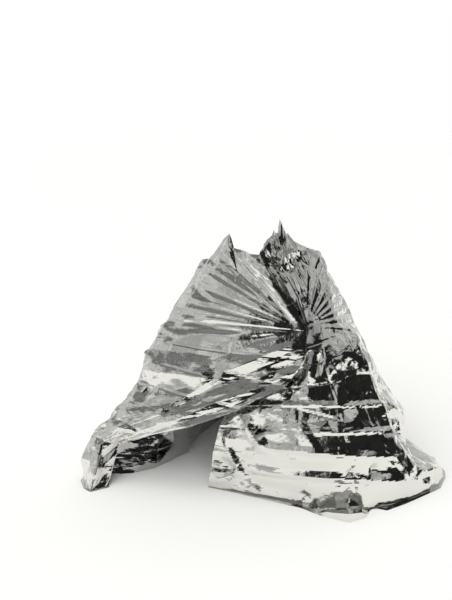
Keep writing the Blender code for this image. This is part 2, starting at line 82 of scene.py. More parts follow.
# The sheet's shape, one row for each rib from the left free edge round the back to the right free edge.
# Each cell is a place on that rib (x, y, z); toe is how far the hem lies out on the floor.
LEVELS = {
    "collar": 0.0, "chest": 0.28, "waist": 0.46, "elbow": 0.64, "knee": 0.84, "ankle": 0.92, "foot": 1.0}
RIB_COLUMNS = ("rib", "collar", "chest", "waist", "elbow", "knee", "foot", "toe")
RIBS = (
    ("left_edge", (-0.026, 0.330, 0.779), (0.132, 0.226, 0.560), (0.070, 0.186, 0.394),
     (-0.244, 0.200, 0.247), (-0.488, 0.330, 0.127), (-0.521, 0.280, 0.0), 0.010),
    ("left_front", (-0.119, 0.420, 0.787), (-0.129, 0.314, 0.560), (-0.195, 0.274, 0.395),
     (-0.343, 0.280, 0.267), (-0.548, 0.330, 0.151), (-0.585, 0.245, 0.0), 0.010),
    ("left_ridge", (-0.201, 0.500, 0.724), (-0.327, 0.430, 0.535), (-0.393, 0.395, 0.415),
     (-0.462, 0.375, 0.278), (-0.587, 0.380, 0.146), (-0.605, 0.367, 0.0), 0.012),
    ("left_back", (-0.160, 0.570, 0.700), (-0.300, 0.510, 0.530), (-0.355, 0.485, 0.400),
     (-0.408, 0.445, 0.2645), (-0.432, 0.436, 0.112), (-0.450, 0.372, 0.0), 0.012),
    ("back_left", (-0.120, 0.610, 0.690), (-0.250, 0.600, 0.520), (-0.280, 0.600, 0.390),
     (-0.295, 0.540, 0.260), (-0.295, 0.495, 0.130), (-0.310, 0.515, 0.0), 0.015),
    ("back_inner", (-0.060, 0.640, 0.680), (-0.150, 0.710, 0.500), (-0.175, 0.750, 0.380),
     (-0.180, 0.750, 0.250), (-0.185, 0.765, 0.120), (-0.195, 0.800, 0.0), 0.020),
    ("back", (0.030, 0.660, 0.645), (0.030, 0.780, 0.500), (0.045, 0.850, 0.380),
     (0.060, 0.910, 0.250), (0.070, 0.970, 0.120), (0.080, 1.010, 0.0), 0.030),
    ("back_right", (0.110, 0.640, 0.660), (0.200, 0.720, 0.500), (0.250, 0.780, 0.380),
     (0.300, 0.830, 0.250), (0.340, 0.870, 0.120), (0.370, 0.910, 0.0), 0.030),
    ("right_back", (0.160, 0.580, 0.710), (0.280, 0.600, 0.520), (0.340, 0.610, 0.380),
     (0.395, 0.615, 0.250), (0.435, 0.620, 0.120), (0.485, 0.615, 0.0), 0.014),
    ("right_side", (0.181, 0.500, 0.749), (0.284, 0.460, 0.549), (0.356, 0.440, 0.391),
     (0.474, 0.420, 0.210), (0.497, 0.405, 0.066), (0.612, 0.392, 0.0), 0.010),
    ("right_fold", (0.145, 0.430, 0.788), (0.240, 0.310, 0.586), (0.310, 0.265, 0.488),
     (0.350, 0.238, 0.332), (0.442, 0.200, 0.155), (0.535, 0.218, 0.0), 0.020),
    ("front_right", (0.050, 0.420, 0.838), (0.178, 0.270, 0.587), (0.191, 0.208, 0.469),
     (0.234, 0.157, 0.337), (0.277, 0.105, 0.176), (0.310, 0.100, 0.0), 0.080),
    ("front_mid", (0.000, 0.400, 0.792), (0.119, 0.268, 0.559), (0.069, 0.240, 0.422),
     (0.053, 0.202, 0.320), (0.036, 0.174, 0.155), (0.046, 0.166, 0.0), 0.020),
    ("right_edge", (-0.007, 0.390, 0.719), (0.069, 0.300, 0.535), (-0.030, 0.300, 0.384),
     (-0.119, 0.300, 0.273), (-0.168, 0.285, 0.136), (-0.188, 0.275, 0.0), 0.020),
)

# Places on the ribs between knee and foot where they aren't halfway: the lobe and the train on the floor.
ANKLES = {
    "left_ridge": (-0.622, 0.372, 0.060),
    "right_back": (0.475, 0.610, 0.050),
    "right_side": (0.594, 0.400, 0.042),
    "right_fold": (0.500, 0.210, 0.080),
}

# Outline on the floor of the hem that lies spread in front, as places (x, y) from right to left, and how
# far it reaches out at least.
SPREAD = (
    (0.640, 0.400), (0.617, 0.340), (0.591, 0.262), (0.548, 0.222), (0.462, 0.145), (0.396, 0.096),
    (0.348, 0.118), (0.338, 0.090), (0.322, 0.050), (0.270, 0.014), (0.175, 0.064), (0.119, 0.115),
    (-0.188, 0.272),
)
SPREAD_LEAST = 0.008

# The rounded lobe in that hem: how high it lifts off the floor at each x, and its profile outwards.
LOBE = {0.16: 0.0, 0.20: 0.022, 0.27: 0.034, 0.31: 0.026, 0.335: 0.0}
LOBE_PROFILE = {0.0: 0.0, 0.2: 0.05, 0.5: 0.8, 0.93: 1.0, 1.0: 0.0}

# Pointed tips of the collar: the rib, a shift across the sheet, the rise, and the half width each side.
# They end at TIP_DEPTH down the sheet.
TIP_COLUMNS = ("rib", "shift", "rise", "before", "after")
TIPS = (
    ("left_front", 0.000, 0.052, 0.028, 0.100),
    ("front_right", 0.000, 0.046, 0.022, 0.018),
    ("front_right", -0.052, 0.014, 0.030, 0.012),
    ("front_right", 0.048, 0.012, 0.016, 0.022),
    ("front_mid", -0.010, 0.010, 0.018, 0.014),
)
TIP_DEPTH = 0.16

# Loose folds of the sides and back, from the collar to the hem: the rib, a shift across the sheet, half
# width, and height out of the sheet at the hem, with the share of it that they have at the collar.
DRAPE_COLUMNS = ("rib", "shift", "half_width", "height")
DRAPES = (
    ("left_back", 0.00, 0.060, 0.012),
    ("back_left", 0.04, 0.050, -0.016),
    ("back_inner", 0.05, 0.070, 0.018),
    ("back", -0.03, 0.060, -0.012),
    ("back", 0.10, 0.050, 0.014),
    ("back_right", 0.06, 0.070, -0.018),
    ("right_back", 0.00, 0.060, 0.015),
)
DRAPE_AT_COLLAR = 0.25

# Crease lines left from when the sheet was folded flat, as places down the sheet.
BANDS = (0.0, 0.09, 0.18, 0.28, 0.37, 0.46, 0.55, 0.64, 0.74, 0.84, 0.92, 1.0)

# Where each front panel is gathered, as the viewer sees it.
GATHERS = {"left": (0.129, 0.606), "right": (0.135, 0.624)}

# Pleats that fan out from the gather on each panel, as their height in millimetres at each bearing in
# degrees, and the distances from the gather over which they grow and fade.
FANS = {
    "left": {
        126: 0, 131: 2, 136: -2, 141: 3, 146: -2, 151: 3, 156: -3, 161: 2, 166: -2, 170: 2, 175: -2,
        181: 2, 187: -2, 195: 0},
    "right": {
        -8: 0, 0: 3, 7: -4, 14: 4, 20: -4, 26: 4, 32: -4, 38: 4, 44: -5, 50: 4, 56: -3, 62: 4, 68: -5,
        75: 5, 82: -3, 90: 0},
}
FAN_GROWS = (0.02, 0.14)
FAN_FADES = (0.30, 0.44)

# Main folds, placed as a viewer in front sees them, who looks down a little: from one end to the other,
# across and up in metres. A fold has straight flanks: wide_left and wide_right are their widths on each
# side of its line, height is out of the sheet, and end is the share of its length in which it tapers.
FOLD_COLUMNS = ("fold", "panel", "x0", "up0", "x1", "up1", "wide_left", "wide_right", "height", "end")
FOLDS = (
    ("lapel valley", "left", -0.079, 0.842, 0.119, 0.597, 0.030, 0.046, -0.006, 0.45),
    ("lapel highlight", "left", -0.020, 0.808, 0.119, 0.617, 0.017, 0.017, 0.005, 0.20),
    ("collar dent", "left", -0.139, 0.842, -0.007, 0.729, 0.026, 0.040, -0.008, 0.40),
    ("dark valley", "left", -0.257, 0.640, -0.046, 0.606, 0.007, 0.024, -0.0075, 0.30),
    ("upper dark valley", "left", -0.290, 0.676, -0.180, 0.652, 0.006, 0.016, -0.005, 0.40),
    ("under-arm ridge", "left", -0.416, 0.488, -0.162, 0.455, 0.073, 0.040, 0.014, 0.15),
    ("under-arm rise", "left", -0.178, 0.455, 0.069, 0.558, 0.053, 0.030, 0.011, 0.30),
    ("cream facet", "left", -0.310, 0.478, -0.211, 0.412, 0.026, 0.040, -0.007, 0.40),
    ("long valley", "left", -0.389, 0.307, -0.139, 0.446, 0.017, 0.023, -0.012, 0.30),
    ("hem ridge", "left", -0.416, 0.294, -0.007, 0.426, 0.046, 0.026, 0.012, 0.20),
    ("dark dent", "left", -0.130, 0.482, -0.010, 0.446, 0.008, 0.036, -0.009, 0.40),
    ("grip crumple", "left", -0.007, 0.531, 0.106, 0.564, 0.020, 0.017, 0.009, 0.45),
    ("grip crumple low", "left", 0.020, 0.478, 0.119, 0.511, 0.020, 0.023, -0.009, 0.45),
    ("elbow dent", "left", -0.436, 0.393, -0.343, 0.446, 0.020, 0.020, -0.010, 0.45),
    ("elbow ridge", "left", -0.409, 0.360, -0.323, 0.439, 0.020, 0.017, 0.010, 0.45),
    ("lobe ridge", "left", -0.594, 0.214, -0.389, 0.346, 0.033, 0.046, 0.009, 0.30),
    ("lobe pinch", "left", -0.581, 0.155, -0.449, 0.267, 0.020, 0.020, -0.008, 0.40),
    ("lobe end fold", "left", -0.568, 0.096, -0.544, 0.214, 0.017, 0.013, 0.009, 0.30),
    ("lobe flap ridge", "left", -0.600, 0.110, -0.535, 0.190, 0.020, 0.020, 0.010, 0.35),
    ("lobe flap hollow", "left", -0.560, 0.090, -0.525, 0.150, 0.016, 0.020, -0.008, 0.35),
    ("lobe crown", "left", -0.600, 0.225, -0.520, 0.240, 0.020, 0.024, 0.005, 0.40),
    ("lobe brow", "left", -0.520, 0.300, -0.420, 0.285, 0.018, 0.022, 0.008, 0.40),
    ("shoulder dent", "left", -0.240, 0.760, -0.160, 0.700, 0.016, 0.020, -0.007, 0.40),
    ("shoulder crease", "left", -0.300, 0.640, -0.235, 0.655, 0.014, 0.014, 0.006, 0.40),
    ("arm crease", "left", -0.380, 0.560, -0.300, 0.585, 0.016, 0.014, 0.006, 0.40),
    ("hem sag", "left", -0.502, 0.241, -0.429, 0.287, 0.020, 0.020, -0.008, 0.40),
    ("collar pleat", "right", 0.028, 0.898, 0.020, 0.799, 0.014, 0.014, -0.009, 0.40),
    ("collar crown", "right", 0.119, 0.906, 0.053, 0.815, 0.018, 0.014, 0.009, 0.35),
    ("collar shelf", "right", 0.045, 0.840, 0.152, 0.878, 0.016, 0.012, 0.009, 0.35),
    ("collar pocket", "right", 0.053, 0.795, 0.111, 0.823, 0.014, 0.014, -0.009, 0.40),
    ("grip ridge", "right", 0.148, 0.439, 0.135, 0.611, 0.020, 0.026, 0.010, 0.25),
    ("grip hollow", "right", 0.162, 0.459, 0.178, 0.551, 0.017, 0.020, -0.012, 0.40),
    ("white facet", "right", 0.198, 0.452, 0.254, 0.538, 0.020, 0.030, 0.009, 0.40),
    ("dark panel", "right", 0.271, 0.373, 0.261, 0.531, 0.020, 0.040, -0.009, 0.30),
    ("upright crease", "right", 0.238, 0.201, 0.231, 0.439, 0.030, 0.020, 0.008, 0.15),
    ("shoulder fold", "right", 0.317, 0.478, 0.284, 0.657, 0.017, 0.030, 0.008, 0.30),
    ("skirt corner low", "right", 0.495, 0.142, 0.403, 0.294, 0.040, 0.030, 0.012, 0.15),
    ("skirt corner high", "right", 0.409, 0.280, 0.310, 0.544, 0.040, 0.033, 0.012, 0.15),
    ("side dent", "right", 0.442, 0.234, 0.396, 0.380, 0.020, 0.023, -0.011, 0.40),
    ("side ridge", "right", 0.482, 0.214, 0.409, 0.399, 0.023, 0.020, 0.009, 0.30),
    ("ledge one", "right", 0.046, 0.373, 0.396, 0.370, 0.016, 0.008, 0.0045, 0.10),
    ("ledge two", "right", 0.150, 0.287, 0.416, 0.287, 0.016, 0.009, 0.0045, 0.10),
    ("ledge three", "right", -0.007, 0.234, 0.455, 0.201, 0.020, 0.012, 0.005, 0.10),
    ("ledge four", "right", -0.079, 0.155, 0.488, 0.125, 0.020, 0.014, 0.005, 0.10),
    ("dark wedge", "right", 0.092, 0.360, 0.244, 0.325, 0.008, 0.036, -0.008, 0.35),
    ("dent one", "right", 0.252, 0.132, 0.296, 0.182, 0.014, 0.050, -0.014, 0.45),
    ("dent two", "right", 0.345, 0.132, 0.357, 0.192, 0.016, 0.060, -0.016, 0.45),
    ("dent three", "right", 0.271, 0.046, 0.290, 0.088, 0.014, 0.050, -0.012, 0.45),
    ("dent four", "right", 0.119, 0.063, 0.139, 0.092, 0.026, 0.030, -0.008, 0.50),
    ("left wedge", "right", -0.086, 0.346, 0.013, 0.201, 0.030, 0.026, 0.012, 0.35),
    ("wedge floor", "right", -0.030, 0.332, 0.060, 0.318, 0.008, 0.045, -0.011, 0.40),
    ("block slash", "right", -0.132, 0.250, -0.066, 0.120, 0.014, 0.034, 0.012, 0.40),
    ("block pleat one", "right", -0.172, 0.180, -0.139, 0.172, 0.006, 0.014, 0.007, 0.30),
    ("block pleat two", "right", -0.175, 0.152, -0.136, 0.142, 0.006, 0.014, 0.007, 0.30),
    ("left hollow", "right", -0.040, 0.261, -0.007, 0.340, 0.026, 0.030, -0.013, 0.45),
    ("edge facet", "right", -0.125, 0.214, -0.106, 0.300, 0.026, 0.026, 0.009, 0.45),
    ("edge hollow", "right", -0.106, 0.116, -0.125, 0.201, 0.026, 0.023, -0.010, 0.45),
    ("diagonal ridge", "right", 0.178, 0.214, 0.086, 0.346, 0.030, 0.023, 0.007, 0.30),
    ("foot ridge", "right", -0.165, 0.109, 0.119, 0.056, 0.026, 0.017, 0.006, 0.20),
    ("train ridge", "right", 0.500, 0.155, 0.640, 0.150, 0.030, 0.024, 0.010, 0.25),
    ("train hollow", "right", 0.545, 0.190, 0.530, 0.110, 0.018, 0.022, -0.008, 0.35),
)

# Crumple of the film between the crease lines, the broad layer first: pitch in metres both ways, height,
# how far its lines bend, the turn of its grid in degrees, and the seed.
CRUMPLE_COLUMNS = ("pitch_across", "pitch_down", "height", "warp", "turn", "seed")
CRUMPLES = (
    (0.070, 0.052, 0.0045, 0.15, 28.0, 3),
    (0.036, 0.030, 0.0026, 0.20, 55.0, 5),
    (0.015, 0.012, 0.0008, 0.30, -35.0, 8),
)
HEM_CRUMPLE = (0.045, 0.030, 0.0030, 0.35, 0.0, 31)

# Bends in a layer's lines, in pitches: their length, and their reach at a warp of 1. A layer draws its
# bends down the sheet and its heights from seeds this far after its own.
BEND_LENGTH = 2.2
BEND_REACH = 2.0
DOWN_SEED = 100
HEIGHT_SEED = 200

# The sheet's length from collar to foot, and where the hem's own crumple starts and how far it reaches.
DROP = 0.95
HEM_DROP = 1.0
HEM_REACH = 0.1

# Patches of the sheet where the finer crumple is strong: pitch, seed, its mean share and how far that
# swings, and the least share, which the flat panels between the patches keep.
PATCH_PITCH = 0.11
PATCH_SEED = 41
PATCH_MEAN = 0.55
PATCH_SWING = 2.2
PATCH_LEAST = 0.22

# Areas of the front, as the viewer sees them, where the crumple is stronger or calmer than elsewhere: the
# middle and half widths in metres, and how much is added to its share, which is CALMEST at least.
AREA_COLUMNS = ("area", "x", "up", "half_across", "half_up", "gain")
AREAS = (
    ("left flat panels", -0.230, 0.540, 0.180, 0.060, -0.75),
    ("left elbow", -0.400, 0.420, 0.060, 0.060, 0.90),
    ("lobe", -0.530, 0.330, 0.080, 0.060, 0.70),
    ("left fan", -0.130, 0.690, 0.170, 0.080, -0.65),
    ("belt triangle", -0.080, 0.452, 0.090, 0.040, 0.40),
    ("grip", 0.060, 0.445, 0.070, 0.050, 0.70),
    ("right collar", 0.070, 0.880, 0.100, 0.060, 1.20),
    ("right border", 0.420, 0.370, 0.050, 0.120, 0.90),
    ("hem corner", -0.110, 0.130, 0.060, 0.060, 0.70),
    ("pointed dents", 0.317, 0.155, 0.090, 0.030, 0.50),
    ("pale band", 0.234, 0.215, 0.160, 0.030, -0.60),
    ("pale facets", -0.020, 0.260, 0.100, 0.060, -0.55),
    ("under-arm band", -0.250, 0.430, 0.120, 0.045, -0.60),
    ("skirt foot", 0.150, 0.120, 0.160, 0.030, -0.50),
)
CALMEST = 0.15

# An area's gain is full out to two thirds of its half widths, and ends at four thirds of them.
AREA_TOP = 2.0
AREA_FALL = 1.5

# Crumple added at the collar, over a share of the sheet's length, and round the back. Facing is 1 where
# the film faces the viewer: areas of the front count in full from FACING_FADE on, and the back's crumple
# starts to grow below BACK_FROM.
COLLAR_DEPTH = 0.14
COLLAR_GAIN = 1.4
FACING_FADE = 0.3
BACK_FROM = 0.45
BACK_GAIN = 0.9

# Crumple taken away among the pleats: how much, how it falls off with the distance from the gather, and
# how far below the gather it goes.
CALM_SHARE = 0.65
CALM_TOP = 1.4
CALM_REACH = 0.22
CALM_BELOW = 0.06

# Fine pleats between the main ones of each fan: first and last bearing, pitch, height, and seed. They
# stray from their pitch by a share of it, their heights go over a range of shares, and they grow and fade
# over these distances from the gather.
FINE_FAN_COLUMNS = ("panel", "first", "last", "pitch", "height", "seed")
FINE_FANS = (
    ("left", 126.0, 180.0, 2.3, 0.0028, 21),
    ("right", -14.0, 92.0, 3.0, 0.0030, 22),
)
FINE_STRAY = 0.3
FINE_HEIGHTS = (0.4, 1.2)
FINE_GROWS = (0.03, 0.23)
FINE_FADES = (0.34, 0.50)

# The grooves of the crease lines: half width, depth, and the mean spacing of those that run across.
CREASE_HALF = 0.007
CREASE_DEPTH = 0.0012
BAND_SPACING = 0.08

# Height above the floor at which the crumple is full, and width of the hem at which its own is.
FLOOR_FADE = 0.02
HEM_FULL_WIDTH = 0.08

# Faces shaded smooth: how far they go from the gather on each panel, and how far below it.
SMOOTH_REACH = {"left": 0.46, "right": 0.20}
SMOOTH_BELOW = 0.03

# The body's share of the flat layout's height. The hem takes the rest.
BODY_SHARE = 0.95

# The film: its colour on the front, and on the back a darker grey that is painted shade for the inside of
# the tent;
# its roughness, and fine crinkles as scale and strength. Last come the places of the colours among the
# sockets of a node that mixes them.
FILM_FRONT = (0.79, 0.79, 0.755, 1.0)
FILM_BACK_PAINTED_SHADE = (0.50, 0.50, 0.49, 1.0)
FILM_ROUGHNESS = 0.10
CRINKLES = ((70.0, 0.55), (160.0, 0.3))
CRINKLE_STRENGTH = 0.14
CRINKLE_DISTANCE = 0.004
COLOUR_INPUTS = (6, 7)
COLOUR_OUTPUT = 2

# The floor, which ends a little way past the film on both sides, so that the film's edges mirror the room.
FLOOR_SIZE = (3.6, 14.0, 1.0)
FLOOR_COLOUR = (0.95, 0.945, 0.92, 1.0)
FLOOR_ROUGHNESS = 0.9

# The camera, its sensor in millimetres, and the photograph it matches, with the pixel column of x = 0 and
# the row of the floor at y = 0.
CAMERA_DISTANCE = 4.0
CAMERA_AIM = (0.0, 0.35, 0.40)
SENSOR = 36.0
METRES_PER_PIXEL = 0.0033
PICTURE_WIDTH = 452
PICTURE_HEIGHT = 600
MIDDLE_COLUMN = 264
FLOOR_ROW = 517

# Lights: name, direction, softness in degrees, and power.
LIGHTS = (
    ("key", (0.5, 0.4, -1.0), 70.0, 1.3),
    ("fill", (-0.6, -0.3, -1.0), 70.0, 0.6),
    ("front", (0.15, 1.0, -0.5), 60.0, 1.7),
)

# What the camera itself sees past the floor.
WHITE = (1.0, 1.0, 1.0, 1.0)

# The room that the film mirrors. The bearing is that of its dark part, to the right of the viewer. Each
# soft step has the two values between which it goes, and then its result at each of them.
DARK_BEARING = 37.0
ROOM = {
    "in front": (0.20, 0.42, 0.0, 1.0),
    "low down": (0.56, 0.68, 1.0, 0.0),
    "overhead": (0.45, 0.80, 0.68, 0.58),
    "clutter": (0.32, 0.68, 0.72, 1.30),
    "behind": (-0.60, 0.10, 1.10, 1.00),
    "leftwards": (-0.55, -0.30, 1.0, 0.0),
    "upwards": (0.40, 0.66, 0.0, 1.0),
    "shade": (0.0, 1.0, 1.0, 0.38),
    "backwards": (0.70, 0.95, 0.0, 0.68),
    "above floor": (0.10, 0.20, 0.0, 1.0),
    "rightwards": (0.45, 0.85, 0.0, 0.42),
    "darkness": (0.0, 1.0, 1.0, 0.03),
}

# The noise that makes the room's brightness uneven, and the least length that a direction is divided by.
CLUTTER_SCALE = 3.2
CLUTTER_DETAIL = 1.0
LEAST_LENGTH = 0.001


def eased(knots, values, places):
    """A smooth curve through the values at the knots, read at the places, with slopes from neighbours."""
    knots = np.asarray(knots, float)
    values = np.asarray(values, float)
    rise = np.diff(values, axis=0) / np.diff(knots)[:, None, None]
    slope = np.empty_like(values)
    slope[1:-1] = (rise[:-1] + rise[1:]) / 2
    slope[0] = rise[0]
    slope[-1] = rise[-1]
    i = np.clip(np.searchsorted(knots, places, side="right") - 1, 0, len(knots) - 2)
    span = (knots[i + 1] - knots[i])[:, None, None]
    t = ((places - knots[i]) / (knots[i + 1] - knots[i]))[:, None, None]
    low, high = values[i], values[i + 1]
    return (
        (2 * t**3 - 3 * t**2 + 1) * low
        + (t**3 - 2 * t**2 + t) * span * slope[i]
        + (3 * t**2 - 2 * t**3) * high
        + (t**3 - t**2) * span * slope[i + 1]
    )


def named(columns, table):
    """The rows of a table, each as a dictionary by its columns."""
    return [dict(zip(columns, row)) for row in table]


def rib_cells():
    """The places on each rib, from collar to foot."""
    cells = []
    for rib in named(RIB_COLUMNS, RIBS):
        halfway = (np.array(rib["knee"]) + rib["foot"]) / 2
        rib["ankle"] = ANKLES.get(rib["rib"], halfway)
        cells.append([rib[level] for level in LEVELS])
    return np.array(cells)


def rib_places():
    """Where each rib lies across the sheet, in metres from the left free edge, by the mean gaps."""
    gaps = np.linalg.norm(np.diff(rib_cells(), axis=0), axis=2).mean(axis=1)
    names = [rib["rib"] for rib in named(RIB_COLUMNS, RIBS)]
    return dict(zip(names, np.concatenate([[0], np.cumsum(gaps)])))


def smooth_sheet(across, down):
    """The sheet without its folds: points[across, down] from collar to foot."""
    round_it = eased(list(rib_places().values()), rib_cells(), across)
    return eased(list(LEVELS.values()), round_it.transpose(1, 0, 2), down).transpose(1, 0, 2)


def on_facets(corners, slant, place_u, place_v):
    """Values at the corners of a grid, read on two flat triangles a cell; slant turns the diagonal."""
    i = np.minimum(np.floor(place_u).astype(int), corners.shape[0] - 2)
    j = np.minimum(np.floor(place_v).astype(int), corners.shape[1] - 2)
    turned = slant[i, j] == 1
    s, t = place_u - i, place_v - j
    s = np.where(turned, 1 - s, s)
    near, far = np.where(turned, i + 1, i), np.where(turned, i, i + 1)
    a, b, c, d = corners[near, j], corners[far, j], corners[near, j + 1], corners[far, j + 1]
    if corners.ndim == 3:
        s, t = s[..., None], t[..., None]
    return np.where(s + t < 1, a + (b - a) * s + (c - a) * t, d + (c - d) * (1 - s) + (b - d) * (1 - t))


def band_place(down):
    """Where each place down the sheet lies among the crease lines, counted from the collar."""
    return np.interp(down, BANDS, range(len(BANDS)))


def faceted_sheet(across, down):
    """The smooth sheet broken into flat three-cornered panels between its crease lines."""
    last = max(rib_places().values())
    columns = round(last / FACET_WIDTH)
    corners = smooth_sheet(np.linspace(0, last, columns + 1), np.array(BANDS))
    slant = np.random.default_rng(FACET_SEED).integers(0, 2, (columns, len(BANDS) - 1))
    place_u, place_v = np.meshgrid(across / last * columns, band_place(down), indexing="ij")
    return on_facets(corners, slant, place_u, place_v)


def normals_of(points):
    """Unit normals of a grid of points, pointing out of the tent."""
    normal = np.cross(np.gradient(points, axis=0), np.gradient(points, axis=1))
    return normal / np.maximum(np.linalg.norm(normal, axis=2, keepdims=True), TINY)


def seen_plane(points):
    """Across and up, in metres, as the viewer in front sees each point."""
    tilt = math.radians(LOOK_DOWN)
    return points[..., 0], points[..., 1] * math.sin(tilt) + points[..., 2] * math.cos(tilt)


def panel_share(panel, across):
    """How much of the front panel's folds each place across the sheet takes, from 0 to 1."""
    at = rib_places()
    if panel == "left":
        return np.clip((at["left_ridge"] + LEFT_FADE - across) / (2 * LEFT_FADE), 0, 1)
    return np.clip((across - at["right_side"]) / RIGHT_FADE, 0, 1)


def fold_height(fold, x, up):
    """The height of one straight-flanked fold at each place of the seen plane."""
    run, rise = fold["x1"] - fold["x0"], fold["up1"] - fold["up0"]
    length = math.hypot(run, rise)
    along = ((x - fold["x0"]) * run + (up - fold["up0"]) * rise) / length**2
    side = ((up - fold["up0"]) * run - (x - fold["x0"]) * rise) / length
    flank = 1 - np.where(side > 0, side / fold["wide_left"], -side / fold["wide_right"])
    taper = np.minimum(along, 1 - along) / fold["end"]
    return fold["height"] * np.clip(flank, 0, 1) * np.clip(taper, 0, 1)


def round_gather(panel, x, up):
    """How far each place lies from the panel's gather, and at what bearing, from -90 to 270 degrees."""
    gather_x, gather_up = GATHERS[panel]
    bearing = np.degrees(np.arctan2(up - gather_up, x - gather_x))
    return np.hypot(x - gather_x, up - gather_up), np.where(bearing < -90, bearing + 360, bearing)


def fan_share(away, grows, fades):
    """How tall pleats stand at a distance from their gather, from 0 to 1."""
    grown = np.clip((away - grows[0]) / (grows[1] - grows[0]), 0, 1)
    left = np.clip((fades[1] - away) / (fades[1] - fades[0]), 0, 1)
    return grown * left


def fan_height(panel, x, up):
    """The height of the pleats that fan out from the panel's gather."""
    away, bearing = round_gather(panel, x, up)
    pleats = np.interp(bearing, list(FANS[panel]), list(FANS[panel].values())) * MILLIMETRE
    return pleats * fan_share(away, FAN_GROWS, FAN_FADES)


def uneven_height(across, down):
    """Flat three-cornered facets between the crease lines, uneven from one to the next."""
    columns = int(across.max() / CREASE_SPACING) + SPARE_CELLS
    rng = np.random.default_rng(UNEVEN_SEED)
    corners = rng.uniform(-UNEVEN_HEIGHT, UNEVEN_HEIGHT, (columns, len(BANDS) + 1))
    slant = rng.integers(0, 2, corners.shape)
    place_u, place_v = np.meshgrid(across / CREASE_SPACING, band_place(down), indexing="ij")
    return on_facets(corners, slant, place_u, place_v)


def collar_tips(points, across, down):
    """Raises the collar's pointed tips, less and less down the sheet."""
    at = rib_places()
    for tip in named(TIP_COLUMNS, TIPS):
        off = across - at[tip["rib"]] - tip["shift"]
        share = np.clip(1 - np.where(off < 0, -off / tip["before"], off / tip["after"]), 0, 1)
        points[:, :, 2] += tip["rise"] * share[:, None] * np.clip(1 - down / TIP_DEPTH, 0, 1)[None, :]


def drape_height(across, down):
    """The height of the loose folds of the sides and back."""
    at = rib_places()
    height = np.zeros((len(across), len(down)))
    grown = DRAPE_AT_COLLAR + (1 - DRAPE_AT_COLLAR) * down
    for drape in named(DRAPE_COLUMNS, DRAPES):
        share = np.clip(1 - abs(across - at[drape["rib"]] - drape["shift"]) / drape["half_width"], 0, 1)
        height += drape["height"] * share[:, None] * grown[None, :]
    return height


def hem_on_floor(foot, across, down):
    """The hem that lies out on the floor, as points[across, step] from the foot of the sheet to its edge."""
    along = np.gradient(smooth_sheet(across, down)[:, -1], axis=0)
    outward = np.stack([-along[:, 1], along[:, 0], np.zeros(len(along))], axis=1)
    outward /= np.maximum(np.linalg.norm(outward, axis=1, keepdims=True), TINY)
    toe_widths = [rib["toe"] for rib in named(RIB_COLUMNS, RIBS)]
    toe = foot + outward * np.interp(across, list(rib_places().values()), toe_widths)[:, None]
    outline = np.array(SPREAD[::-1])
    in_front = np.minimum(np.interp(foot[:, 0], *outline.T), foot[:, 1] - SPREAD_LEAST)
    spread = np.stack([foot[:, 0], in_front, np.zeros(len(foot))], axis=1)
    right_share = panel_share("right", across)
    toe += (spread - toe) * right_share[:, None]
    steps = np.array(HEM_STEPS)
    hem = foot[:, None] + (toe - foot)[:, None] * steps[None, :, None]
    lift = np.interp(foot[:, 0], list(LOBE), list(LOBE.values())) * right_share
    profile = np.interp(steps, list(LOBE_PROFILE), list(LOBE_PROFILE.values()))
    hem[:, :, 2] = lift[:, None] * profile[None, :]
    return hem


def folded_sheet(across, down):
    """The sheet with its main folds: points[across, down], the last columns being the hem on the floor."""
    points = faceted_sheet(across, down)
    collar_tips(points, across, down)
    x, up = seen_plane(points)
    height = uneven_height(across, down) + drape_height(across, down)
    for panel in FANS:
        height += panel_share(panel, across)[:, None] * fan_height(panel, x, up)
    for fold in named(FOLD_COLUMNS, FOLDS):
        height += panel_share(fold["panel"], across)[:, None] * fold_height(fold, x, up)
    points += normals_of(smooth_sheet(across, down)) * height[:, :, None]
    points[:, -1, 2] = 0.0
    return np.concatenate([points, hem_on_floor(points[:, -1], across, down)], axis=1)


def grid_faces(rows, columns):
    """The four-cornered faces of a grid, turned to face out of the tent."""
    corner = np.arange(rows * columns).reshape(rows, columns)
    faces = [corner[:-1, :-1], corner[1:, :-1], corner[1:, 1:], corner[:-1, 1:]]
    return np.stack(faces, axis=-1).reshape(-1, 4)


def smooth_noise(across, down, pitch, seed):
    """Soft noise from -1 to 1 over the sheet."""
    rng = np.random.default_rng(seed)
    rows = int(across.max() / pitch) + SPARE_CELLS
    columns = int(HEM_DROP / pitch) + SPARE_CELLS
    lattice = rng.uniform(-1, 1, (rows, columns))
    u, v = across / pitch, down / pitch
    i, j = np.floor(u).astype(int), np.floor(v).astype(int)
    s, t = u - i, v - j
    s, t = s * s * (3 - 2 * s), t * t * (3 - 2 * t)
    low = lattice[i, j] * (1 - s) + lattice[i + 1, j] * s
    high = lattice[i, j + 1] * (1 - s) + lattice[i + 1, j + 1] * s
    return low * (1 - t) + high * t


def crumple_height(across, drop, layer):
    """One layer of flat three-cornered facets at random heights, their grid turned and bent."""
    cosine, sine = math.cos(math.radians(layer["turn"])), math.sin(math.radians(layer["turn"]))
    pitch_u, pitch_v = layer["pitch_across"], layer["pitch_down"]
    bend = layer["warp"] * BEND_REACH
    u = (across * cosine + drop * sine) / pitch_u
    u += bend * smooth_noise(across, drop, BEND_LENGTH * pitch_u, layer["seed"])
    v = (drop * cosine - across * sine) / pitch_v
    v += bend * smooth_noise(across, drop, BEND_LENGTH * pitch_v, layer["seed"] + DOWN_SEED)
    u, v = u - u.min() + 1, v - v.min() + 1
    rng = np.random.default_rng(layer["seed"] + HEIGHT_SEED)
    corners = rng.uniform(-layer["height"], layer["height"], (int(u.max()) + 2, int(v.max()) + 2))
    slant = rng.integers(0, 2, corners.shape)
    return on_facets(corners, slant, u, v)


